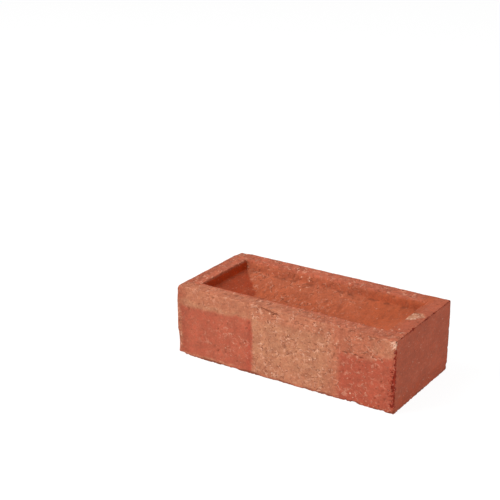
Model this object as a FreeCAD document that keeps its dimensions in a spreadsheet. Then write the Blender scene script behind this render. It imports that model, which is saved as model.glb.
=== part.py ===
"""Frogged clay building brick, standard metric format, as a parametric document.

Frame: millimetres, +Z up. The origin is the centre of the lower bed face. The brick
lies on that face with its frog, the pressed hollow that holds mortar, facing up.
+X runs along the length and +Y across the width.
"""
import FreeCAD, Part
import Sketcher
import os

# Alias, value in millimetres, what it is.
DIMENSIONS = [
    ("brick_length", 215.0, "along X"),
    ("brick_width", 102.5, "along Y"),
    ("brick_height", 65.0, "from bed face to bed face"),
    ("arris_radius", 1.5, "rounding of the twelve outer arrises"),
    ("end_rim", 16.0, "bed left at each end of the frog"),
    ("side_rim", 15.75, "bed left along each side of the frog"),
    ("step_depth", 8.0, "steep wall round the mouth of the frog"),
    ("step_draft", 2.5, "how far that wall leans in over its depth"),
    ("valley_depth", 17.0, "deepest line of the frog, below the upper bed"),
    ("valley_width", 4.0, "blunt bottom of the valley"),
    ("hip_run", 30.0, "from the foot of the end wall to the end of the valley"),
    ("mouth_radius", 1.5, "rounding of the mouth of the frog"),
]

SHEET = "Dimensions"

# How a sketch names the two ends of a line, and its own origin.
LINE_START, LINE_END = 1, 2
SKETCH_ORIGIN = (-1, 1)

# Two places closer than this are the same place.
SAME_PLACE = 1e-3


def make_sheet(doc):
    """Write the driving dimensions, one per row, each a plain number with an alias."""
    sheet = doc.addObject("Spreadsheet::Sheet", SHEET)
    for row, (alias, value, note) in enumerate(DIMENSIONS, start=1):
        sheet.set(f"A{row}", alias)
        sheet.set(f"B{row}", str(value))
        sheet.set(f"C{row}", note)
        sheet.setAlias(f"B{row}", alias)
    doc.recompute()
    return sheet


def length_of(alias):
    """The expression that reads one dimension as a length."""
    return f"{SHEET}.{alias} * 1 mm"


def level_below_bed(depth):
    """The expression for a level below the upper bed."""
    return f"({SHEET}.brick_height - {SHEET}.{depth}) * 1 mm"


def half_inset(size, *margins):
    """The expression for half a size less the given margins."""
    terms = " - ".join([f"{SHEET}.{size} / 2"] + [f"{SHEET}.{margin}" for margin in margins])
    return f"({terms}) * 1 mm"


def origin_plane(body, role):
    """One of the body's own origin planes, found by its role."""
    return next(item for item in body.Origin.OriginFeatures if item.Role == role)


def sketch_bed_outline(body):
    """Sketch the brick's length and width, centred on the origin."""
    sketch = body.newObject("Sketcher::SketchObject", "BedOutline")
    sketch.AttachmentSupport = [(origin_plane(body, "XY_Plane"), "")]
    sketch.MapMode = "FlatFace"

    first_half_length, first_half_width = 10.0, 5.0
    corners = [
        FreeCAD.Vector(x_side * first_half_length, y_side * first_half_width, 0)
        for x_side, y_side in ((-1, -1), (1, -1), (1, 1), (-1, 1))
    ]
    lines = [
        sketch.addGeometry(Part.LineSegment(start, end), False)
        for start, end in zip(corners, corners[1:] + corners[:1])
    ]
    for line, following in zip(lines, lines[1:] + lines[:1]):
        sketch.addConstraint(
            Sketcher.Constraint("Coincident", line, LINE_END, following, LINE_START))
    front, right, back, left = lines
    for line in (front, back):
        sketch.addConstraint(Sketcher.Constraint("Horizontal", line))
    for line in (right, left):
        sketch.addConstraint(Sketcher.Constraint("Vertical", line))
    sketch.addConstraint(
        Sketcher.Constraint("Symmetric", front, LINE_START, right, LINE_END, *SKETCH_ORIGIN))

    for name, kind, line, alias, first_size in (
            ("length", "DistanceX", front, "brick_length", 2 * first_half_length),
            ("width", "DistanceY", right, "brick_width", 2 * first_half_width)):
        index = sketch.addConstraint(
            Sketcher.Constraint(kind, line, LINE_START, line, LINE_END, first_size))
        sketch.renameConstraint(index, name)
        sketch.setExpression(f"Constraints.{name}", length_of(alias))
    return sketch


def add_block(doc, body):
    """Add the pressed block, with all twelve arrises rounded."""
    block = body.newObject("PartDesign::Pad", "Block")
    block.Profile = sketch_bed_outline(body)
    block.setExpression("Length", length_of("brick_height"))
    doc.recompute()

    arrises = body.newObject("PartDesign::Fillet", "Arrises")
    every_edge = [f"Edge{number}" for number in range(1, len(block.Shape.Edges) + 1)]
    arrises.Base = (block, every_edge)
    arrises.setExpression("Radius", length_of("arris_radius"))
    doc.recompute()
    return arrises


def add_tapered_cut(doc, body, name, lower, upper, lower_level, upper_level):
    """Cut a centred rectangular taper between two levels.

    lower and upper are each a half length and a half width. All are expressions.
    A wedge rises along its own +Y, so it is turned to rise along +Z.
    """
    cut = body.newObject("PartDesign::SubtractiveWedge", name)
    cut.Placement = FreeCAD.Placement(
        FreeCAD.Vector(0, 0, 0), FreeCAD.Rotation(FreeCAD.Vector(1, 0, 0), 90))
    cut.setExpression("Ymax", upper_level)
    cut.setExpression("Ymin", lower_level)
    for (half_length, half_width), prefix in ((lower, ""), (upper, "2")):
        for axis, half_size in (("X", half_length), ("Z", half_width)):
            cut.setExpression(f"{axis}{prefix}max", half_size)
            cut.setExpression(f"{axis}{prefix}min", f"-({half_size})")
    doc.recompute()
    return cut


def add_frog(doc, body):
    """Cut the frog: a steep step at the mouth, then a floor hipped down to a valley."""
    mouth = (half_inset("brick_length", "end_rim"),
             half_inset("brick_width", "side_rim"))
    step_foot = (half_inset("brick_length", "end_rim", "step_draft"),
                 half_inset("brick_width", "side_rim", "step_draft"))
    valley = (half_inset("brick_length", "end_rim", "step_draft", "hip_run"),
              f"{SHEET}.valley_width / 2 * 1 mm")
    foot_level = level_below_bed("step_depth")

    add_tapered_cut(
        doc, body, "FrogStep", step_foot, mouth, foot_level, length_of("brick_height"))
    return add_tapered_cut(
        doc, body, "FrogFloor", valley, step_foot, level_below_bed("valley_depth"), foot_level)


def mouth_edges(shape, sheet):
    """Names of the four edges where the frog meets the upper bed."""
    half_mouth = sheet.brick_length / 2 - sheet.end_rim
    names = []
    for number, edge in enumerate(shape.Edges, start=1):
        box = edge.BoundBox
        on_bed = box.ZMin > sheet.brick_height - SAME_PLACE
        inside = max(box.XMax, -box.XMin) < half_mouth + SAME_PLACE
        if on_bed and inside:
            names.append(f"Edge{number}")
    return names


def round_mouth(doc, body, frog, sheet):
    """Round the edges between the upper bed and the frog."""
    rounding = body.newObject("PartDesign::Fillet", "MouthRounding")
    rounding.Base = (frog, mouth_edges(frog.Shape, sheet))
    rounding.setExpression("Radius", length_of("mouth_radius"))
    doc.recompute()
    return rounding


def make_brick(doc, sheet):
    """Make the brick. All of it is one fired piece, so it is one body."""
    body = doc.addObject("PartDesign::Body", "Brick")
    body.Label = "brick"
    block = add_block(doc, body)
    frog = add_frog(doc, body)
    if frog.Shape.Volume >= block.Shape.Volume:
        raise RuntimeError("the frog cut nothing")
    body.Tip = round_mouth(doc, body, frog, sheet)
    doc.recompute()
    return body


def check_document(doc, bodies):
    """Stop if any object failed, or if any body is not one valid solid."""
    for item in doc.Objects:
        if {"Invalid", "Error"} & set(item.State):
            raise RuntimeError(f"{item.Name} did not compute: {item.State}")
    for body in bodies:
        shape = body.Shape
        if shape.isNull() or not shape.isValid() or len(shape.Solids) != 1:
            raise RuntimeError(f"{body.Label} is not one valid solid")


def export(bodies):
    """Write each body to parts/ under its label, and print its size."""
    os.makedirs("parts", exist_ok=True)
    for body in bodies:
        body.Shape.exportStep(f"parts/{body.Label}.step")
        box = body.Shape.BoundBox
        print(f"{body.Label}: {box.XLength:.2f} x {box.YLength:.2f} x {box.ZLength:.2f} mm, "
              f"{body.Shape.Volume / 1000:.1f} cm3, {len(body.Shape.Faces)} faces")


doc = FreeCAD.newDocument("FroggedBrick")
sheet = make_sheet(doc)
bodies = [make_brick(doc, sheet)]
check_document(doc, bodies)
export(bodies)
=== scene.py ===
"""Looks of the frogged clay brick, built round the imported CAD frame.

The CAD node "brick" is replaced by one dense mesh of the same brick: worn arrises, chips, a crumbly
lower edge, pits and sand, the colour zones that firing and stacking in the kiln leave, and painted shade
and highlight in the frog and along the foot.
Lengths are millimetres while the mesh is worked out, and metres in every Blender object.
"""
import math

import bpy
import numpy as np
from mathutils import Matrix, Vector


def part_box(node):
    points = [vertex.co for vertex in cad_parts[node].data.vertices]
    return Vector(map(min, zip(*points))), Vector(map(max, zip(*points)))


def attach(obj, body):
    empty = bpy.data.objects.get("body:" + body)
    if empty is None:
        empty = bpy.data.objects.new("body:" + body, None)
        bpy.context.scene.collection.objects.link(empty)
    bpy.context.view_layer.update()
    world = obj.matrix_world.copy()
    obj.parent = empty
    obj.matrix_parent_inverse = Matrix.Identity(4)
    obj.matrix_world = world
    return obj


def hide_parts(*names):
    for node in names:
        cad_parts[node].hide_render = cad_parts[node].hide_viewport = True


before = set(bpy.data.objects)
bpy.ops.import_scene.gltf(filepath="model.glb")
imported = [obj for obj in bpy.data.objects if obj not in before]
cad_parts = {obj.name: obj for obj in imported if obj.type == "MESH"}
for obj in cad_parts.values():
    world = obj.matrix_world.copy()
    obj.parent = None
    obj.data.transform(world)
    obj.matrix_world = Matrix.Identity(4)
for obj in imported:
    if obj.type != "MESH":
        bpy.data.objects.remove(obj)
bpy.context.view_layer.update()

# ---------------------------------------------------------------- sizes, in millimetres

MM = 0.001
LOW, HIGH = (np.array(corner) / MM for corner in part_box("brick"))
LENGTH, WIDTH, HEIGHT = HIGH - LOW

# The frog: the bed left round it, its steep step, and its floor of four slopes down to a valley. The
# slopes at the ends are HIP_RUN long, and HIP_BLEND softens the edges where they meet the long ones.
END_RIM, SIDE_RIM = 16.0, 15.75
STEP_DEPTH, STEP_DRAFT = 8.0, 2.5
VALLEY_DEPTH, VALLEY_WIDTH = 17.0, 4.0
HIP_RUN, HIP_BLEND = 30.0, 0.25
MOUTH = np.array([LENGTH / 2 - END_RIM, WIDTH / 2 - SIDE_RIM])  # half its length, half its width

# Between the grid lines of the mesh: on the flats, at the arrises and at the walls of the frog.
COARSE_SPACING, EDGE_SPACING, WALL_SPACING = 1.1, 0.5, 0.35
# How far from an arris or a wall the lines lie close together.
EDGE_REACH, WALL_REACH = 9.0, 4.0
# At how many places along an axis the spacing is worked out.
SPACING_SAMPLES = 4001

# Two places closer than this are the same place.
TINY = 1e-6

# Off the block on either side, for the border of a mark that runs over an arris.
OFF_LOW, OFF_HIGH = -30, 260

# A point times this keeps its place in plan and loses its height.
PLAN = np.array([1, 1, 0])


# ---------------------------------------------------------------- noise and soft shapes

NOISE_CELLS = 96


def ease(amount):
    """A smooth step from 0 to 1."""
    amount = np.clip(amount, 0, 1)
    return amount * amount * (3 - 2 * amount)


def ramp(value, start, end):
    """0 at start and 1 at end, eased between them and held beyond them. The end may be the lower."""
    return ease((value - start) / (end - start))


def value_noise(points, cell, seed):
    """Smooth noise from -1 to 1. cell is its grain in millimetres, one number or one per axis."""
    table = np.random.default_rng(seed).uniform(-1, 1, (NOISE_CELLS,) * 3)
    scaled = points / cell
    base = np.floor(scaled).astype(int)
    part = ease(scaled - base)
    total = np.zeros(len(points))
    for corner in np.ndindex(2, 2, 2):
        weight = np.prod(np.where(corner, part, 1 - part), axis=1)
        x, y, z = ((base + corner) % NOISE_CELLS).T
        total += weight * table[x, y, z]
    return total


def rough_noise(points, cell, seed, octaves=3):
    """Noise with finer and fainter copies of itself added, still about -1 to 1."""
    total, strength = np.zeros(len(points)), 0.0
    for octave in range(octaves):
        share = 0.5 ** octave
        total += share * value_noise(points, np.asarray(cell) * share, seed + octave)
        strength += share
    return total / strength


def nearest_spot(points, cell, seed):
    """The distance to the nearest of many random spots, and that spot's own random number.

    Each cubic cell holds one spot, and the distance is in cells.
    """
    table = np.random.default_rng(seed).uniform(0, 1, (NOISE_CELLS,) * 3 + (4,))
    scaled = points / cell
    base = np.floor(scaled).astype(int)
    nearest = np.full(len(points), np.inf)
    number = np.zeros(len(points))
    for step in np.ndindex(3, 3, 3):
        home = base + step - np.array([1, 1, 1])
        x, y, z = (home % NOISE_CELLS).T
        spot = table[x, y, z]
        distance = np.linalg.norm(home + spot[:, :3] - scaled, axis=1)
        closer = distance < nearest
        nearest = np.where(closer, distance, nearest)
        number = np.where(closer, spot[:, 3], number)
    return nearest, number


def soft_box(across, up, across_range, up_range, edge):
    """1 inside a rectangle and 0 outside, with a soft edge of the given width."""
    margin = np.minimum.reduce([
        across - across_range[0], across_range[1] - across,
        up - up_range[0], up_range[1] - up])
    return ease(margin / edge + 0.5)


# ---------------------------------------------------------------- the block

def graded_lines(low, high, fine_spots):
    """Grid lines from low to high, closer together near some places."""
    places = np.linspace(low, high, SPACING_SAMPLES)
    spacing = np.full(places.shape, COARSE_SPACING)
    for place, reach, fine in fine_spots:
        nearness = ramp(np.abs(places - place) / reach, 1.5, 0.5)
        spacing = np.minimum(spacing, COARSE_SPACING + (fine - COARSE_SPACING) * nearness)
    lines_so_far = np.concatenate([[0], np.cumsum(np.diff(places) / spacing[1:])])
    count = int(round(lines_so_far[-1]))
    return np.interp(np.linspace(0, lines_so_far[-1], count + 1), lines_so_far, places)


def block_lines(axis):
    """The grid lines along one axis: fine at the arrises and at the walls of the frog."""
    spots = [(LOW[axis], EDGE_REACH, EDGE_SPACING), (HIGH[axis], EDGE_REACH, EDGE_SPACING)]
    if axis < 2:
        wall = MOUTH[axis] - STEP_DRAFT / 2
        spots += [(side * wall, WALL_REACH, WALL_SPACING) for side in (-1, 1)]
    return graded_lines(LOW[axis], HIGH[axis], spots)


def sheet_quads(numbers, flipped):
    """The quads of one side, from the lattice of its point numbers."""
    quads = np.stack([
        numbers[:-1, :-1], numbers[1:, :-1], numbers[1:, 1:], numbers[:-1, 1:]], axis=-1)
    quads = quads.reshape(-1, 4)
    return quads[:, ::-1] if flipped else quads


def block_surface(x_lines, y_lines, z_lines):
    """Points and quads of the closed block. Its six sides share their edge points."""
    shape = (len(x_lines), len(y_lines), len(z_lines))
    places = np.indices(shape)
    outer = np.zeros(shape, dtype=bool)
    for place, size in zip(places, shape):
        outer |= (place == 0) | (place == size - 1)
    numbers = np.full(shape, -1)
    numbers[outer] = np.arange(outer.sum())
    points = np.stack(
        [lines[place[outer]] for lines, place in zip((x_lines, y_lines, z_lines), places)], axis=1)
    quads = np.concatenate([
        sheet_quads(numbers[:, :, -1], False), sheet_quads(numbers[:, :, 0], True),
        sheet_quads(numbers[-1, :, :], False), sheet_quads(numbers[0, :, :], True),
        sheet_quads(numbers[:, 0, :], False), sheet_quads(numbers[:, -1, :], True)])
    return points, quads


def point_normals(points, quads):
    """The outward normal at each point."""
    faces = np.cross(
        points[quads[:, 2]] - points[quads[:, 0]], points[quads[:, 3]] - points[quads[:, 1]])
    normals = np.zeros_like(points)
    for axis in range(3):
        for corner in range(4):
            normals[:, axis] += np.bincount(quads[:, corner], faces[:, axis], len(points))
    return normals / np.linalg.norm(normals, axis=1, keepdims=True)


# ---------------------------------------------------------------- wear

def arris_radius(points):
    """How round the arris is near each point: more along the upper bed, most at its far left corner."""
    x, y, z = (points - LOW).T
    near_top = ramp(z, HEIGHT - 14, HEIGHT - 6)
    back = ramp(y, WIDTH - 14, WIDTH - 6)
    left = ramp(x, 14, 6)
    right = ramp(x, LENGTH - 10, LENGTH - 4)
    radius = 0.8 + 0.3 * rough_noise(points, 11.0, 11)
    radius += near_top * (0.5 * (1 - right) + 0.5 * back + 0.5 * left + 1.6 * left * back)
    return np.clip(radius, 0.4, 6.0)


def round_arrises(points, radius):
    """Round the block's arrises. Points on the flats stay where they are."""
    core = np.clip(points, LOW + radius[:, None], HIGH - radius[:, None])
    away = points - core
    return core + away * (radius / np.linalg.norm(away, axis=1))[:, None]


def scoop(points, centre, radius, roughness, seed):
    """Push points out of a rough ball, which leaves the hollow of a chip."""
    offset = points - centre
    distance = np.linalg.norm(offset, axis=1)
    near = np.flatnonzero(distance < radius * (1 + roughness))
    bumps = value_noise(points[near], max(radius / 2, 1.2), seed)
    ball = radius * (1 + roughness * bumps)
    inside = distance[near] < ball
    chosen = near[inside]
    moved = points.copy()
    moved[chosen] = centre + offset[chosen] * (ball[inside] / distance[chosen])[:, None]
    return moved


def chip_ball(place, radius, bite):
    """The centre of a ball that bites into the block at a place on an arris or a corner."""
    outward = (np.abs(place - HIGH) < TINY).astype(float) - (np.abs(place - LOW) < TINY)
    return place + outward / np.linalg.norm(outward) * (radius - bite)


# Wear on the arrises and corners. Places are from the lower left front corner: along the length, across
# the width, up. Then the radius of the ball that cuts the hollow, and how far it bites.
WORN_PLACES = [
    ((0, 0, 0), 6.0, 1.6),           # lower corner on the left, and the lean of its arris
    ((1.5, 0, 0), 12.0, 2.4),
    ((0, 0, 8), 60.0, 2.4),
    ((0, 0, HEIGHT), 7.0, 2.0),      # upper corner on the left
    ((0, WIDTH, HEIGHT), 9.0, 1.6),  # far corner on the left
    ((150, 0, 0), 3.0, 1.0),         # lower front edge
    ((112, 0, 0), 2.6, 0.7),
    ((60, 0, 0), 4.2, 1.2),
    ((38, 0, 0), 3.4, 1.0),
    ((205, 0, 0), 3.6, 1.4),
    ((9, 0, 0), 5.0, 1.4),
    ((100, WIDTH, HEIGHT), 4.0, 0.9),
    ((168, WIDTH, HEIGHT), 3.0, 0.7),
    ((0, 63, 0), 5.0, 1.3),
    ((0, 21, HEIGHT), 3.0, 0.7),
    ((0, 70, HEIGHT), 3.4, 0.8),
    ((120, WIDTH, 0), 5.0, 1.4),
    ((41, WIDTH, 0), 4.0, 1.1),
    ((0, WIDTH, 20), 5.0, 1.2),
    ((0, WIDTH, 0), 7.0, 2.0),
]
# Chips that show the dark red clay of the core.
DARK_CHIPS = [
    ((LENGTH - 0.6, 0, 55.5), 2.2, 0.8),  # upright arris, broken towards the front
    ((LENGTH - 0.4, 0, 53), 2.4, 0.9),
    ((LENGTH - 0.7, 0, 50), 2.2, 0.8),
    ((LENGTH - 0.8, 0, 44), 1.8, 0.7),
    ((LENGTH - 1.6, 0, 38), 2.4, 0.8),
    ((LENGTH - 1.2, 0, 33), 2.2, 0.9),
    ((LENGTH - 2.2, 0, 28), 2.8, 0.9),
    ((LENGTH - 1.4, 0, 23), 3.0, 1.1),
    ((LENGTH - 1.8, 0, 17), 2.6, 1.0),
    ((LENGTH - 1.6, 0, 8), 2.4, 0.9),
    ((LENGTH, WIDTH, 3), 5.0, 1.5),  # lower far corner
    ((LENGTH, WIDTH, 13), 3.6, 0.8),
    ((LENGTH, WIDTH, 38), 3.0, 0.6),
    ((LENGTH, 15, HEIGHT), 2.4, 0.8),  # nicks along the right end of the upper bed
    ((LENGTH, 20, HEIGHT), 2.2, 0.7),
    ((LENGTH, 30, HEIGHT), 3.6, 0.9),
    ((LENGTH, 34, HEIGHT), 3.0, 0.7),
    ((LENGTH, 43, HEIGHT), 4.0, 0.7),
    ((LENGTH, 55, HEIGHT), 4.0, 0.6),
    ((LENGTH, 70, HEIGHT), 6.0, 0.6),
    ((177, 0, 0), 5.0, 2.0),         # notches in the lower front edge
    ((171, 0, 0), 3.2, 1.2),
    ((48, 0, 0), 3.6, 1.1),
]
# Chips that show paler clay.
PALE_CHIPS = [
    ((LENGTH, 0, HEIGHT), 3.6, 1.4),
    ((0, WIDTH, 52), 4.0, 0.9),
]

# How far the hollow of a nick or a chip strays from a ball: a share of its radius, and the most.
NICK_ROUGHNESS, CHIP_ROUGHNESS, LARGEST_BUMP = 0.3, 0.4, 1.4

# Nicks per 100 mm of an arris, and the largest bite.
PLAIN, CRUMBLY, RAGGED = (40, 0.55), (80, 0.95), (90, 1.0)


def arrises():
    """The twelve arrises, each with its two ends and how crumbly it is."""
    for z in (0, HEIGHT):
        worn = CRUMBLY if z == 0 else PLAIN
        for y in (0, WIDTH):
            yield (0, y, z), (LENGTH, y, z), worn
        for x in (0, LENGTH):
            yield (x, 0, z), (x, WIDTH, z), worn
    for x in (0, LENGTH):
        for y in (0, WIDTH):
            yield (x, y, 0), (x, y, HEIGHT), RAGGED if (x, y) == (LENGTH, 0) else PLAIN


def crumble(points):
    """Many small nicks along every arris."""
    draw = np.random.default_rng(5)
    for start, end, (per_100, largest_bite) in arrises():
        start, end = np.array(start, float), np.array(end, float)
        for _ in range(int(np.linalg.norm(end - start) * per_100 / 100)):
            place = LOW + start + (end - start) * draw.uniform()
            bite = largest_bite * draw.uniform(0.25, 1) ** 1.5
            radius = bite + draw.uniform(0.6, 2.2)
            centre = chip_ball(place, radius, bite)
            points = scoop(points, centre, radius, NICK_ROUGHNESS, int(draw.integers(999)))
    return points


def chip(points, chips):
    """Cut the listed chips."""
    for number, (place, radius, bite) in enumerate(chips):
        centre = chip_ball(LOW + np.array(place, float), radius, bite)
        roughness = min(CHIP_ROUGHNESS, LARGEST_BUMP / radius)
        points = scoop(points, centre, radius, roughness, 100 + number)
    return points


def moved_mask(before, after):
    """0 where points stayed, and up to 1 where a chip moved them by 0.7 mm or more."""
    return ramp(np.linalg.norm(after - before, axis=1), 0, 0.7)


# ---------------------------------------------------------------- the frog

# How far the foot of the step is blurred to each side, where no wear reaches it.
FOOT_BLUR = 0.3


def worn_ramp(inside, half_wear):
    """The step's fall from 0 to 1 across its draft: blurred by wear at the mouth and crisp at the foot."""
    part = np.clip(inside / STEP_DRAFT, 0, 1)
    blur = half_wear * (1 - part) + FOOT_BLUR * part
    shifts = np.linspace(-1, 1, 7)
    return np.mean([np.clip((inside + shift * blur) / STEP_DRAFT, 0, 1) for shift in shifts], axis=0)


def inside_mouth(points):
    """How far each point lies inside the ends and the sides of the mouth, with wavering walls."""
    flat = points * PLAN
    waver_x = 0.6 * rough_noise(flat, 26.0, 31) + 0.12 * value_noise(flat, 5.0, 34)
    waver_y = 0.7 * rough_noise(flat, 30.0, 41) + 0.12 * value_noise(flat, 5.0, 44)
    inside_end = MOUTH[0] - np.abs(points[:, 0] + waver_x)
    inside_side = MOUTH[1] - np.abs(points[:, 1] + waver_y)
    return inside_end, inside_side


def frog_depth(points):
    """How far the frog lies below the upper bed."""
    inside_end, inside_side = inside_mouth(points)
    flat = points * PLAN
    far_side = ramp(points[:, 1], 24, 32)
    left_end = ramp(-points[:, 0], MOUTH[0] - 8, MOUTH[0] - 4)
    half_wear = 0.7 + 0.4 * value_noise(flat, 9.0, 51) - 0.35 * left_end
    half_wear += (1 - left_end) * far_side * (1.5 + 0.9 * value_noise(flat, 7.0, 52))
    step = STEP_DEPTH * worn_ramp(np.minimum(inside_end, inside_side), np.clip(half_wear, 0.25, 4))

    fall = VALLEY_DEPTH - STEP_DEPTH
    side_run = MOUTH[1] - STEP_DRAFT - VALLEY_WIDTH / 2
    valley_waver = 1.6 * rough_noise(flat, 22.0, 61) * np.sign(points[:, 1]) * ramp(inside_side, 0, 30)
    end_fall = (inside_end - STEP_DRAFT) * fall / HIP_RUN
    side_fall = (inside_side - STEP_DRAFT + valley_waver) * fall / side_run
    soft_hip = HIP_BLEND * np.exp(-np.abs(end_fall - side_fall) / HIP_BLEND) / 2
    lower = np.minimum(end_fall, side_fall) - soft_hip
    drag = 0.35 * value_noise(flat, np.array([3.2, 13.0, 9.0]), 63) * ramp(lower, 2, 6)
    return step + np.clip(lower, 0, fall) + drag


# ---------------------------------------------------------------- colour zones

# The functions below say how strong each mark is at each point, from 0 to 1. Their places are
# millimetres from the lower left front corner, and the last number of a soft box is its soft edge.

# How far the borders of the colours waver.
BORDER_WAVER = 2.4


class Places:
    """Where each point of the sharp block lies, and what that place is like."""

    def __init__(self, home):
        self.home = home
        # x, y and z are exact. along, across and up waver, for the uneven borders of the colours.
        self.x, self.y, self.z = (home - LOW).T
        waver = np.stack([rough_noise(home, 9.0, seed) for seed in (71, 74, 77)], axis=1)
        self.along, self.across, self.up = (home + BORDER_WAVER * waver - LOW).T
        self.find_sides()
        self.depth = self.bed * frog_depth(home)
        self.in_frog = self.bed * ramp(self.depth, 0.8, 2.4)
        self.rim = self.bed * (1 - self.in_frog)
        self.near_side = ramp(self.across, 16, 10)
        self.spall = self.bed * spall_mask(home)
        # Patches of two sizes, each from 0 to 1.
        self.broad = 0.5 + 0.5 * rough_noise(home, 20.0, 81)
        self.blotch = 0.5 + 0.5 * rough_noise(home, 6.0, 84)

    def find_sides(self):
        """Which of the six sides each point is on. The shared points of the ends go to one side only."""
        self.front, self.back = self.y < TINY, self.y > WIDTH - TINY
        self.bed, self.below = self.z > HEIGHT - TINY, self.z < TINY
        self.left = (self.x < TINY) & ~self.bed
        self.right = (self.x > LENGTH - TINY) & ~(self.front | self.bed | self.below)


def spall_mask(home):
    """The pale patch where a flake has come off the right end of the upper bed."""
    flat = home * PLAN
    along = home[:, 0] - LOW[0] + 2.2 * value_noise(flat, 4.0, 87)
    across = home[:, 1] - LOW[1] + 2.2 * value_noise(flat, 4.5, 88)
    first_flake = np.hypot((along - 205) / 6.5, (across - 56) / 6.0)
    second_flake = np.hypot((along - 202) / 5.5, (across - 48) / 5.0)
    return ramp(np.minimum(first_flake, second_flake), 1.08, 0.92)


def kiss_marks(at):
    """Red marks where other bricks stood against this one in the kiln."""
    left_top = 47.5 + 0.04 * at.along
    left_panel = soft_box(at.along, at.up, (4.5, 78), (OFF_LOW, left_top), 4.5)
    left_panel *= 1 - 0.6 * ramp(at.up, 4, 2) * ramp(at.along, 60, 50)
    left_line = soft_box(at.along, at.up, (73.5, 78.5), (2, 50), 3.0)
    right_top = 42.5 + 7.5 * ramp(at.along, 193, 207)
    right_panel = soft_box(at.along, at.up, (163.5, OFF_HIGH), (OFF_LOW, right_top), 6.5)
    panels = np.maximum(left_panel, right_panel)
    kiss = at.front * (panels * (0.78 + 0.15 * at.broad) + 0.35 * left_line)
    kiss += at.back * 0.8 * soft_box(at.along, at.up, (52, 140), (OFF_LOW, 47), 5.0)
    kiss += at.left * 0.6 * soft_box(at.across, at.up, (OFF_LOW, 24), (OFF_LOW, OFF_HIGH), 3.0)
    return kiss + at.below * 0.4 * at.broad


def sand_cover(at):
    """Buff moulding sand: thick on the front, thinner on the near rim and the hidden sides."""
    fade_right = ramp(at.along, 146, 166)
    upper_band = ramp(at.up, 50, 56) * (1 - fade_right)
    cover = at.front * (
        1.0 - 0.15 * ramp(at.up, 22, 4) - 0.35 * upper_band
        - 0.65 * fade_right - 0.50 * ramp(at.along, 12, 2))
    corner_patch = soft_box(at.along, at.up, (190, 213), (48, 64), 6.0)
    cover = np.maximum(cover, at.front * corner_patch * (0.35 + 0.45 * at.blotch))

    near_rim = at.rim * at.near_side
    cover += near_rim * (0.45 + 0.15 * at.blotch - 0.30 * ramp(at.along, 110, 170))
    left_end = ramp(at.along, 24, 16)
    far_side = (at.across > 84) * ramp(at.along, 50, 80)
    cover += at.rim * (1 - near_rim) * at.blotch * (0.12 * left_end + 0.05 * far_side)

    cover += at.back * (0.25 + 0.3 * at.broad)
    cover += at.left * (0.35 + 0.3 * at.blotch)
    return cover + at.below * 0.25 * at.blotch


def busy_places(at, kiss):
    """How thick the flecks and creases lie: most on the middle and right of the front."""
    patchy = 0.5 + 0.7 * at.broad
    busy = at.front * (1 - kiss) * (0.45 + 0.55 * ramp(at.along, 72, 80)) * patchy
    panel_middle = ramp(np.hypot((at.along - 52) / 26, (at.up - 25) / 17), 1.3, 0.3)
    right_panel = ramp(at.along, 150, 170) * patchy
    busy += at.front * kiss * (0.10 + 0.55 * panel_middle + 0.45 * right_panel)
    busy = np.maximum(busy, at.front * 0.85 * ramp(at.along, 6, 3))

    near_side = ramp(at.across, 24, 16) * ramp(at.along, 60, 120)
    busy += at.rim * (0.85 + 0.30 * near_side) * patchy
    busy -= at.rim * 0.55 * ramp(at.along, 190, 200) * ramp(at.across, 20, 30)
    busy += at.in_frog * (1.1 - 0.9 * ramp(at.along, 120, 150)) * patchy
    return busy + at.right * 0.14 + (at.back * 0.5 + at.left * 0.6) * at.broad + at.below * 0.4


def foot_shade(at):
    """Painted contact shade along the foot of the front, and darker over the lower part of the right end.
    """
    front = at.front * ramp(at.up, 4.5, 0.5) * (0.15 + 0.45 * ramp(at.along, 60, 110))
    return front + at.right * 0.9 * ramp(at.up, 20, 4)


def pale_corner_and_foot_highlight(at):
    """Pale places on the front: a pale patch by its top right corner, and a painted highlight above its
    foot on the left.
    """
    corner = 0.4 * at.blotch * soft_box(at.along, at.up, (194, 212), (49, 62), 6.0)
    # Painted highlight: a broken pale band just above the foot, on the left of the front.
    foot = ramp(np.abs(at.z - 3.2) / 1.3, 1.2, 0.2) * ramp(at.along, 72, 62)
    broken = ramp(value_noise(at.home, 5.0, 141), -0.1, 0.3)
    return at.front * np.maximum(corner, 0.5 * foot * broken)


def rim_mottle(at):
    """How mottled the rim is: less at the right end, and on the left of the near side."""
    right_end = ramp(at.along, 178, 192)
    near_left = at.near_side * ramp(at.along, 80, 50)
    return at.rim * (1 - 0.85 * right_end) * (1 - 0.75 * near_left)


def dark_lines(at):
    """Painted contact shadow along the foot, and dark lines along the far wall of the frog, the spalled
    patch and the far arris.
    """
    # Painted contact shadow: a thin dark line along the foot of the front and the right end.
    foot_reach = 2.1 + 1.7 * value_noise(at.home, 9.0, 90)
    foot = (at.front | at.right) * ramp(foot_reach - at.z, 0, 0.7)
    foot *= 0.5 + 0.5 * ramp(at.blotch, 0.3, 0.6)

    far_wall = at.in_frog * (at.y > WIDTH / 2 + 20)
    wall_foot = far_wall * ramp(np.abs(at.depth - STEP_DEPTH - 0.3), 0.9, 0)
    dashes = wall_foot * ramp(value_noise(at.home, np.array([4.0, 9.0, 9.0]), 89), 0.05, 0.35)

    spall_edge = 2.0 * at.spall * (1 - at.spall) * ramp(at.blotch, 0.45, 0.65)

    far_reach = 2.2 + 1.2 * value_noise(at.home, 5.0, 124)
    far_arris = at.right * ramp(far_reach - (WIDTH - at.y), 0, 0.8) * ramp(at.z, 14, 34)
    far_arris *= 0.5 + 0.5 * at.blotch
    return np.maximum.reduce([foot, 0.9 * dashes, spall_edge, far_arris])


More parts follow.
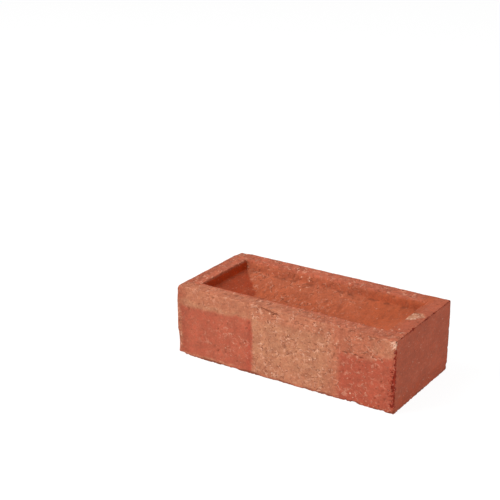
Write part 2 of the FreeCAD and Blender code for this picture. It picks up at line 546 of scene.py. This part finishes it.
def ragged_arrises(at):
    """Dark red core along the broken arrises of the right end, and specks beside the upright one."""
    from_upright = np.hypot(LENGTH - at.x, 3 * at.y)
    reach = np.maximum(2.0 + 1.6 * value_noise(at.home, 5.0, 121), 0.3)
    upright = 0.9 * ramp(from_upright / reach, 1.4, 0.4) * ramp(at.z, 6, 9) * ramp(at.z, 59, 57)
    specks = 0.36 * ramp(from_upright, 11, 4) * ramp(at.z, 2, 6) * ramp(at.z, 48, 40)

    from_level = np.hypot(LENGTH - at.x, 1.5 * (HEIGHT - at.z))
    reach = np.maximum(0.3 + 1.8 * value_noise(at.home, 3.2, 123), 0.1)
    level = 0.85 * ramp(from_level / reach, 1.4, 0.4) * ramp(at.y, 4, 7)
    near_side = at.y < 20
    return np.maximum.reduce([upright * near_side, specks * near_side, level])


def pale_places(at):
    """Pale clay at the broken top of the upright arris, in the spalled patch, and a speck beside it."""
    away = np.hypot(LENGTH - 2.6 - at.x, 0.6 * (HEIGHT - 4 - at.z))
    corner = 0.75 * ramp(away / 3.4, 1.3, 0.3) * (at.y < 1)
    speck = at.bed * ramp(np.hypot(at.x - 199.5, at.y - 58.5), 1.8, 1.0)
    return np.maximum.reduce([corner, speck, 0.30 * at.spall])


def zones(at, normals, cuts):
    """How much of each kind of surface each point has, from its place on the sharp block."""
    steep = at.in_frog * ramp(normals[:, 2], 0.8, 0.5)
    in_left_slope = at.x < END_RIM + HIP_RUN + 8
    # Frog faces turned right, away from the key light, get painted shade: darker on the hip slope, and a
    # darker, richer red on the step wall.
    shaded_faces_right = at.in_frog * ramp(normals[:, 0], 0.10, 0.22) * in_left_slope
    smooth_floor = np.maximum(ramp(at.along, 120, 165), 0.75 * ramp(at.depth, 9, VALLEY_DEPTH))
    smooth_rim = ramp(at.along, 192, 196) * ramp(at.along, 206, 201) * ramp(at.across, 14, 20)
    bare_rim = at.rim * ramp(at.along, 190, 202)
    kiss = kiss_marks(at)
    core = np.maximum(0.9 * cuts["dark_chip"], ragged_arrises(at))
    return {
        "sanded": sand_cover(at),
        "bare": at.right + 0.35 * at.back + 0.5 * at.below + 0.4 * at.left + 0.15 * bare_rim,
        "kiss": kiss,
        "foot": foot_shade(at),
        "frog": at.in_frog,
        "smooth_frog": at.in_frog * smooth_floor + 0.6 * at.rim * smooth_rim,
        "hip_slope_shade": shaded_faces_right * (1 - steep),
        "step_wall_shade": shaded_faces_right * steep,
        # The spall layer also carries the painted highlight above the left foot of the front.
        "spall": at.rim * at.spall + pale_corner_and_foot_highlight(at),
        "rim": rim_mottle(at),
        # Darker over the left 16 mm of the front and the upper bed, outside the frog.
        "darker_left_end": (at.front | at.bed) * (1 - at.in_frog) * ramp(at.along, 16, 4),
        "busy": busy_places(at, kiss) * (1 - 0.9 * shaded_faces_right) * (1 - 0.8 * core),
        "dark_chip": core,
        "pale_chip": np.maximum(0.5 * cuts["pale_chip"], pale_places(at)),
        # Pits and cracks, dark lines, and the painted contact shadow along the foot.
        "pits_lines_and_contact_shadow": np.maximum(cuts["pits_lines_and_contact_shadow"], dark_lines(at)),
    }


# ---------------------------------------------------------------- relief

def relief(at):
    """Small heights along the normal, and how deep each point lies in a pit."""
    home = at.home
    ends = (at.x < TINY) | (at.x > LENGTH - TINY)
    rough = 1 + 0.5 * at.front - 0.75 * ends - 0.2 * ramp(at.depth, 0, 4)
    waves = 0.16 * value_noise(home, 34.0, 91) + 0.10 * value_noise(home, 12.0, 92)
    grain = rough * (0.06 * value_noise(home, 4.5, 93) + 0.085 * value_noise(home, 2.3, 94))
    drag = 0.06 * rough * value_noise(home, np.array([9.0, 5.0, 2.4]), 95)

    pits = np.zeros(len(home))
    for cell, share, size, seed in ((3.8, 0.26, 0.36, 96), (7.5, 0.22, 0.24, 97)):
        distance, number = nearest_spot(home, cell, seed)
        pits = np.maximum(pits, (number < share) * ramp(distance, size, 0))
    return waves + grain + drag - 0.5 * rough * pits, pits


# Drying cracks, from the lower left front corner: the ends of each straight part and its half width.
CRACKS = [
    ((88, 0, 64.4), (95, 0, 62.8), 0.8),
    ((95, 0, 62.8), (104, 0, 61.4), 0.6),
    ((99, 0, 60.2), (103, 0, 62.4), 0.5),
    ((166, 0, 43.5), (174, 0, 45.0), 0.5),
    ((174, 0, 45.0), (186, 0, 42.5), 0.4),
    ((198, 60.5, HEIGHT), (203, 62.0, HEIGHT), 0.8),
    ((203, 62.0, HEIGHT), (207, 60.0, HEIGHT), 0.5),
]


def crack_depth(home):
    """Short cracks: 0 away from them and 1 along them."""
    depth = np.zeros(len(home))
    for start, end, half_width in CRACKS:
        start, end = LOW + np.array(start), LOW + np.array(end)
        span = end - start
        part = np.clip((home - start) @ span / (span @ span), 0, 1)
        distance = np.linalg.norm(home - start - part[:, None] * span, axis=1)
        depth = np.maximum(depth, ramp(distance / half_width, 1.4, 0.4))
    return depth


# ---------------------------------------------------------------- the mesh

def make_brick_mesh():
    """The brick as one closed mesh, with a float attribute for each kind of surface."""
    home, quads = block_surface(*(block_lines(axis) for axis in range(3)))
    at = Places(home)
    blunt = chip(crumble(round_arrises(home, arris_radius(home))), WORN_PLACES)
    chipped = chip(blunt, DARK_CHIPS)
    worn = chip(chipped, PALE_CHIPS)
    cuts = {"dark_chip": moved_mask(blunt, chipped), "pale_chip": moved_mask(chipped, worn)}
    worn[:, 2] -= at.depth + 0.6 * at.spall * (1 + 0.5 * value_noise(home, 3.0, 21))

    heights, pits = relief(at)
    cracks = crack_depth(home)
    cuts["pits_lines_and_contact_shadow"] = np.maximum(0.8 * pits, cracks)
    normals = point_normals(worn, quads)
    worn += normals * (heights - 0.7 * cracks)[:, None]
    worn[:, 2] = np.maximum(worn[:, 2], LOW[2])

    mesh = bpy.data.meshes.new("brick_mesh")
    mesh.from_pydata((worn * MM).tolist(), [], quads.tolist())
    mesh.shade_smooth()
    for name, values in zones(at, normals, cuts).items():
        mesh.attributes.new(name, "FLOAT", "POINT").data.foreach_set(
            "value", np.clip(values, 0, 1).astype(np.float32))
    return mesh


# ---------------------------------------------------------------- materials

# Surface colours, linear. Each layer has its attribute, its colour and how patchy it is.
SALMON = (0.46, 0.110, 0.056)
LAYERS = [
    ("sanded", (0.49, 0.20, 0.105), 0.25),
    ("bare", (0.398, 0.079, 0.036), 0.35),
    ("kiss", (0.415, 0.073, 0.038), 0.15),
    # Painted contact shade along the foot of the front, and a darker lower part of the right end.
    ("foot", (0.39, 0.063, 0.022), 0.40),
    ("frog", (0.432, 0.106, 0.046), 0.20),
    ("smooth_frog", (0.415, 0.087, 0.031), 0.15),
    # Painted shade on the frog faces turned away from the key light, over a richer red clay: the hip slope
    # darker, the step wall a darker, richer red.
    ("hip_slope_shade", (0.355, 0.050, 0.015), 0.25),
    ("step_wall_shade", (0.46, 0.046, 0.003), 0.05),
    # Pale spalled clay, which also carries the painted highlight above the left foot of the front.
    ("spall", (0.60, 0.28, 0.16), 0.50),
]
# Clay that fresh chips lay open, with ragged borders.
FRESH_CLAY = [
    ("dark_chip", (0.26, 0.022, 0.008)),
    ("pale_chip", (0.74, 0.42, 0.29)),
]
LIGHT_FLECK = (0.76, 0.38, 0.25)
CREAM_GRAIN = (0.86, 0.52, 0.36)
DARK_FLECK = (0.19, 0.045, 0.018)

# The mould drags the clay across the width, so all its patterns are longer that way.
DRAGGED = (1.0, 0.6, 1.0)


class Nodes:
    """Short ways to add shader nodes to one tree."""

    def __init__(self, tree):
        self.tree = tree
        self.tree.nodes.clear()

    def add(self, kind, inputs=None, **settings):
        """Add a node. Each input is a value, or a socket to link from."""
        node = self.tree.nodes.new(kind)
        for name, value in settings.items():
            setattr(node, name, value)
        for name, value in (inputs or {}).items():
            if isinstance(value, bpy.types.NodeSocket):
                self.tree.links.new(value, node.inputs[name])
            else:
                node.inputs[name].default_value = value
        return node

    def calculate(self, operation, *values):
        """The result of a math node."""
        return self.add("ShaderNodeMath", dict(enumerate(values)), operation=operation).outputs[0]

    def multiply(self, first, second):
        """The product of two values."""
        return self.calculate("MULTIPLY", first, second)

    def remap(self, value, from_low, from_high, to_low=0.0, to_high=1.0):
        """A smooth map from one range to another, held at its ends."""
        return self.add("ShaderNodeMapRange", {
            "Value": value, "From Min": from_low, "From Max": from_high,
            "To Min": to_low, "To Max": to_high}, interpolation_type="SMOOTHSTEP").outputs["Result"]

    def mix(self, factor, first, second):
        """A mix of two colours."""
        node = self.add("ShaderNodeMix", data_type="RGBA")
        sockets = [item for item in node.inputs if item.enabled]
        for socket, value in zip(sockets, (factor, first, second)):
            if isinstance(value, bpy.types.NodeSocket):
                self.tree.links.new(value, socket)
            elif isinstance(value, tuple):
                socket.default_value = (*value, 1.0)
            else:
                socket.default_value = value
        return next(item for item in node.outputs if item.enabled)

    def noise(self, coordinates, cell, detail=2.0, roughness=0.55, distortion=0.0):
        """Noise whose grain is a size in millimetres."""
        return self.add("ShaderNodeTexNoise", {
            "Vector": coordinates, "Scale": 1 / (cell * MM), "Detail": detail,
            "Roughness": roughness, "Distortion": distortion}).outputs["Fac"]

    def spots(self, coordinates, cell):
        """Spots one to a cell: the distance to the nearest, in cells, and its random number."""
        node = self.add("ShaderNodeTexVoronoi", {"Vector": coordinates, "Scale": 1 / (cell * MM)})
        number = self.add("ShaderNodeSeparateColor", {"Color": node.outputs["Color"]}).outputs[0]
        return node.outputs["Distance"], number

    def stretch(self, coordinates, scale, shift=0.0):
        """Coordinates scaled along each axis, and moved along X by a shift in metres."""
        return self.add("ShaderNodeMapping", {
            "Vector": coordinates, "Location": (shift, 0, 0), "Scale": scale}).outputs[0]

    def attribute(self, name):
        """A float attribute of the mesh."""
        return self.add("ShaderNodeAttribute", attribute_name=name).outputs["Fac"]


def kiln_colour(nodes, place, grain):
    """The colour of each zone, with patchy borders and mottling."""
    patch = nodes.noise(place, 5.0)
    mottle = nodes.noise(place, 14.0, detail=3.0)
    streak = nodes.noise(place, 4.0)
    crumbs = nodes.remap(nodes.noise(place, 1.8, roughness=0.6), 0.2, 0.8, -0.55, 0.55)
    colour = SALMON
    for name, layer, breakup in LAYERS:
        broken = nodes.remap(patch, 0.35, 0.65, 1 - breakup, 1.0)
        colour = nodes.mix(nodes.multiply(nodes.attribute(name), broken), colour, layer)
    for name, layer in FRESH_CLAY:
        ragged = nodes.calculate("ADD", nodes.attribute(name), crumbs)
        colour = nodes.mix(nodes.remap(ragged, 0.42, 0.62), colour, layer)
    value = nodes.remap(nodes.attribute("darker_left_end"), 0.0, 1.0, 1.0, 0.84)
    streaks = nodes.multiply(nodes.attribute("rim"), nodes.remap(streak, 0.35, 0.65, -0.09, 0.11))
    value = nodes.calculate("ADD", value, streaks)
    for source, strength in ((grain, 0.10), (patch, 0.07), (mottle, 0.08)):
        value = nodes.calculate("ADD", nodes.remap(source, 0.3, 0.7, -strength, strength), value)
    return nodes.add("ShaderNodeHueSaturation", {"Color": colour, "Value": value}).outputs["Color"]


def creases(nodes, place, cell, shift):
    """Short curved creases, as a dark line and a pale lip beside it."""
    moved = nodes.stretch(place, (0.8, 1.0, 1.1), shift)
    waves = nodes.noise(moved, cell, detail=1.5, roughness=0.5, distortion=0.4)
    broken = nodes.remap(nodes.noise(moved, 0.8 * cell, detail=1.0), 0.50, 0.60)

    def band(level):
        """A thin broken band where the waves pass one level."""
        away = nodes.calculate("ABSOLUTE", nodes.calculate("SUBTRACT", waves, level))
        return nodes.multiply(broken, nodes.remap(away, 0.015, 0.05, 1.0, 0.0))

    return band(0.47), band(0.545)


def light_flecks(nodes, place, busy, lips):
    """Pale flecks of sand, the pale lips of the creases, and a few cream grains."""
    few_in_frog = nodes.remap(nodes.attribute("frog"), 0.0, 1.0, 1.0, 0.5)
    busy = nodes.multiply(busy, few_in_frog)
    scatter = nodes.noise(place, 3.6, detail=3.0, roughness=0.62, distortion=0.6)
    flecks = nodes.remap(scatter, 0.55, 0.69)
    flecks = nodes.multiply(nodes.calculate("MAXIMUM", nodes.multiply(flecks, 0.8), lips), busy)
    distance, number = nodes.spots(place, 2.8)
    cream = nodes.multiply(nodes.remap(distance, 0.12, 0.36, 1.0, 0.0), nodes.remap(number, 0.88, 0.92))
    cream = nodes.multiply(cream, nodes.remap(busy, 0.3, 0.6, 0.0, 0.75))
    return flecks, cream


def dark_flecks(nodes, place, busy, lines):
    """Dark dashes, creases, specks and pits."""
    lying = nodes.stretch(place, (0.6, 1.0, 1.25))
    scatter = nodes.noise(lying, 3.2, detail=3.0, roughness=0.62, distortion=0.6)
    dashes = nodes.remap(scatter, 0.39, 0.29)
    dashes = nodes.calculate("MAXIMUM", nodes.multiply(dashes, 0.7), nodes.multiply(lines, 0.85))
    distance, number = nodes.spots(place, 3.4)
    speck = nodes.multiply(nodes.remap(distance, 0.10, 0.26, 1.0, 0.0), nodes.remap(number, 0.88, 0.92))
    speck = nodes.multiply(speck, nodes.remap(busy, 0.0, 0.6, 0.4, 0.7))
    calm = nodes.remap(nodes.attribute("kiss"), 0.0, 1.0, 0.75, 0.35)
    dark = nodes.calculate("MAXIMUM", nodes.multiply(dashes, nodes.multiply(busy, calm)), speck)
    return nodes.calculate("MAXIMUM", dark, nodes.multiply(nodes.attribute("pits_lines_and_contact_shadow"), 0.8))


def fine_height(nodes, place, grain, flecks, dark):
    """The height of the fine texture: grains and flecks stand up, and dark marks are sunk."""
    height = nodes.calculate("ADD", nodes.multiply(grain, 0.5), nodes.multiply(flecks, 0.5))
    height = nodes.calculate("ADD", height, nodes.multiply(nodes.noise(place, 0.6), 0.3))
    height = nodes.calculate("SUBTRACT", height, nodes.multiply(dark, 0.9))
    return nodes.multiply(height, nodes.remap(nodes.attribute("bare"), 0.3, 1.0, 1.0, 0.45))


def fired_clay():
    """Fired clay: kiln colours and painted shade by zone, flecks of sand, creases, pits, and a dry rough
    bump.
    """
    material = bpy.data.materials.new("fired_clay_detail")
    material.use_nodes = True
    nodes = Nodes(material.node_tree)
    place = nodes.stretch(nodes.add("ShaderNodeTexCoord").outputs["Object"], DRAGGED)
    grain = nodes.noise(place, 1.6, roughness=0.6)
    clusters = nodes.remap(nodes.noise(place, 7.0, detail=1.0), 0.38, 0.58, 0.3, 1.15)
    busy = nodes.multiply(nodes.attribute("busy"), clusters)
    fine_lines, fine_lips = creases(nodes, place, 4.0, 0.0)
    long_lines, _ = creases(nodes, place, 6.0, 0.3)
    lines = nodes.calculate("MAXIMUM", fine_lines, nodes.multiply(long_lines, 0.7))
    lips = nodes.multiply(fine_lips, 0.8)
    flecks, cream = light_flecks(nodes, place, busy, lips)
    dark = dark_flecks(nodes, place, busy, lines)

    colour = kiln_colour(nodes, place, grain)
    colour = nodes.mix(nodes.multiply(flecks, 0.8), colour, LIGHT_FLECK)
    colour = nodes.mix(cream, colour, CREAM_GRAIN)
    colour = nodes.mix(dark, colour, DARK_FLECK)

    height = fine_height(nodes, place, grain, flecks, dark)
    bump = nodes.add("ShaderNodeBump", {"Height": height, "Strength": 0.7, "Distance": 0.7 * MM})
    surface = nodes.add("ShaderNodeBsdfPrincipled", {
        "Base Color": colour, "Roughness": nodes.remap(grain, 0.2, 0.8, 0.84, 0.97),
        "Normal": bump.outputs["Normal"], "Specular IOR Level": 0.25})
    nodes.add("ShaderNodeOutputMaterial", {"Surface": surface.outputs["BSDF"]})
    return material


def floor_material():
    """A plain white sweep that glows a little, as a lit table does, so that shadows stay pale."""
    material = bpy.data.materials.new("white_sweep")
    material.use_nodes = True
    nodes = Nodes(material.node_tree)
    surface = nodes.add("ShaderNodeBsdfPrincipled", {
        "Base Color": (0.15, 0.15, 0.15, 1), "Roughness": 1.0, "Specular IOR Level": 0.0,
        "Emission Color": (1, 1, 1, 1), "Emission Strength": 0.93})
    nodes.add("ShaderNodeOutputMaterial", {"Surface": surface.outputs["BSDF"]})
    return material


# ---------------------------------------------------------------- pieces

def add_object(name, mesh):
    """Put a mesh in the scene."""
    thing = bpy.data.objects.new(name, mesh)
    bpy.context.scene.collection.objects.link(thing)
    return thing


def make_brick():
    """The brick's looks, in place of its CAD node."""
    brick = add_object("worn_brick", make_brick_mesh())
    brick.data.materials.append(fired_clay())
    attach(brick, "root")
    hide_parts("brick")


FLOOR_RADIUS, FLOOR_SIDES = 12.0, 96


def make_floor():
    """A wide round floor under the brick."""
    mesh = bpy.data.meshes.new("floor_mesh")
    angles = np.linspace(0, 2 * np.pi, FLOOR_SIDES, endpoint=False)
    rim = [(FLOOR_RADIUS * math.cos(angle), FLOOR_RADIUS * math.sin(angle), 0) for angle in angles]
    mesh.from_pydata(rim, [], [tuple(range(len(rim)))])
    floor = add_object("floor", mesh)
    mesh.materials.append(floor_material())


# ---------------------------------------------------------------- light and camera

def aim(thing, place, target, roll=0.0):
    """Put a light or camera at a place, looking at a target."""
    direction = Vector(target) - Vector(place)
    turn = direction.to_track_quat("-Z", "Y").to_matrix() @ Matrix.Rotation(roll, 3, "Z")
    thing.matrix_world = Matrix.Translation(place) @ turn.to_4x4()


def add_area_light(name, direction, distance, size, illumination):
    """A square soft light. An illumination of 1 lights a white surface that faces it to 1."""
    light = bpy.data.lights.new(name, "AREA")
    light.shape = "SQUARE"
    light.size = size
    light.energy = illumination * (math.pi * distance) ** 2
    lamp = bpy.data.objects.new(name, light)
    bpy.context.scene.collection.objects.link(lamp)
    aim(lamp, Vector(direction).normalized() * distance, (0, 0, 0.03))


def light_scene():
    """A soft key from the front left and above, and a room that is bright near the horizon."""
    add_area_light("key", (-0.50, -0.42, 0.75), distance=1.5, size=0.9, illumination=0.90)
    add_area_light("top", (0.1, 0.2, 1.0), distance=1.6, size=1.2, illumination=0.17)

    world = bpy.data.worlds.new("room")
    bpy.context.scene.world = world
    world.use_nodes = True
    nodes = Nodes(world.node_tree)
    direction = nodes.add("ShaderNodeTexCoord").outputs["Generated"]
    height = nodes.add("ShaderNodeSeparateXYZ", {"Vector": direction}).outputs["Z"]
    strength = nodes.remap(height, 0.10, 0.45, 1.0, 0.22)
    background = nodes.add("ShaderNodeBackground", {"Strength": strength})
    background.inputs["Color"].default_value = (1, 1, 1, 1)
    nodes.add("ShaderNodeOutputWorld", {"Surface": background.outputs["Background"]})
    bpy.context.scene.view_settings.view_transform = "Standard"


CAMERA_AZIMUTH, CAMERA_PITCH, CAMERA_ROLL = (math.radians(angle) for angle in (32.84, 20.42, 0.27))
CAMERA_PLACE = (0.4957, -0.8676, 0.4754)
CAMERA_LENS = 89.72


def make_camera():
    """The main view: from the front right, a little above, with a short telephoto lens."""
    camera = bpy.data.objects.new("camera", bpy.data.cameras.new("camera"))
    camera.data.lens = CAMERA_LENS
    bpy.context.scene.collection.objects.link(camera)
    forward = Vector((
        -math.sin(CAMERA_AZIMUTH) * math.cos(CAMERA_PITCH),
        math.cos(CAMERA_AZIMUTH) * math.cos(CAMERA_PITCH),
        -math.sin(CAMERA_PITCH)))
    aim(camera, CAMERA_PLACE, Vector(CAMERA_PLACE) + forward, CAMERA_ROLL)
    bpy.context.scene.camera = camera


make_brick()
make_floor()
light_scene()
make_camera()
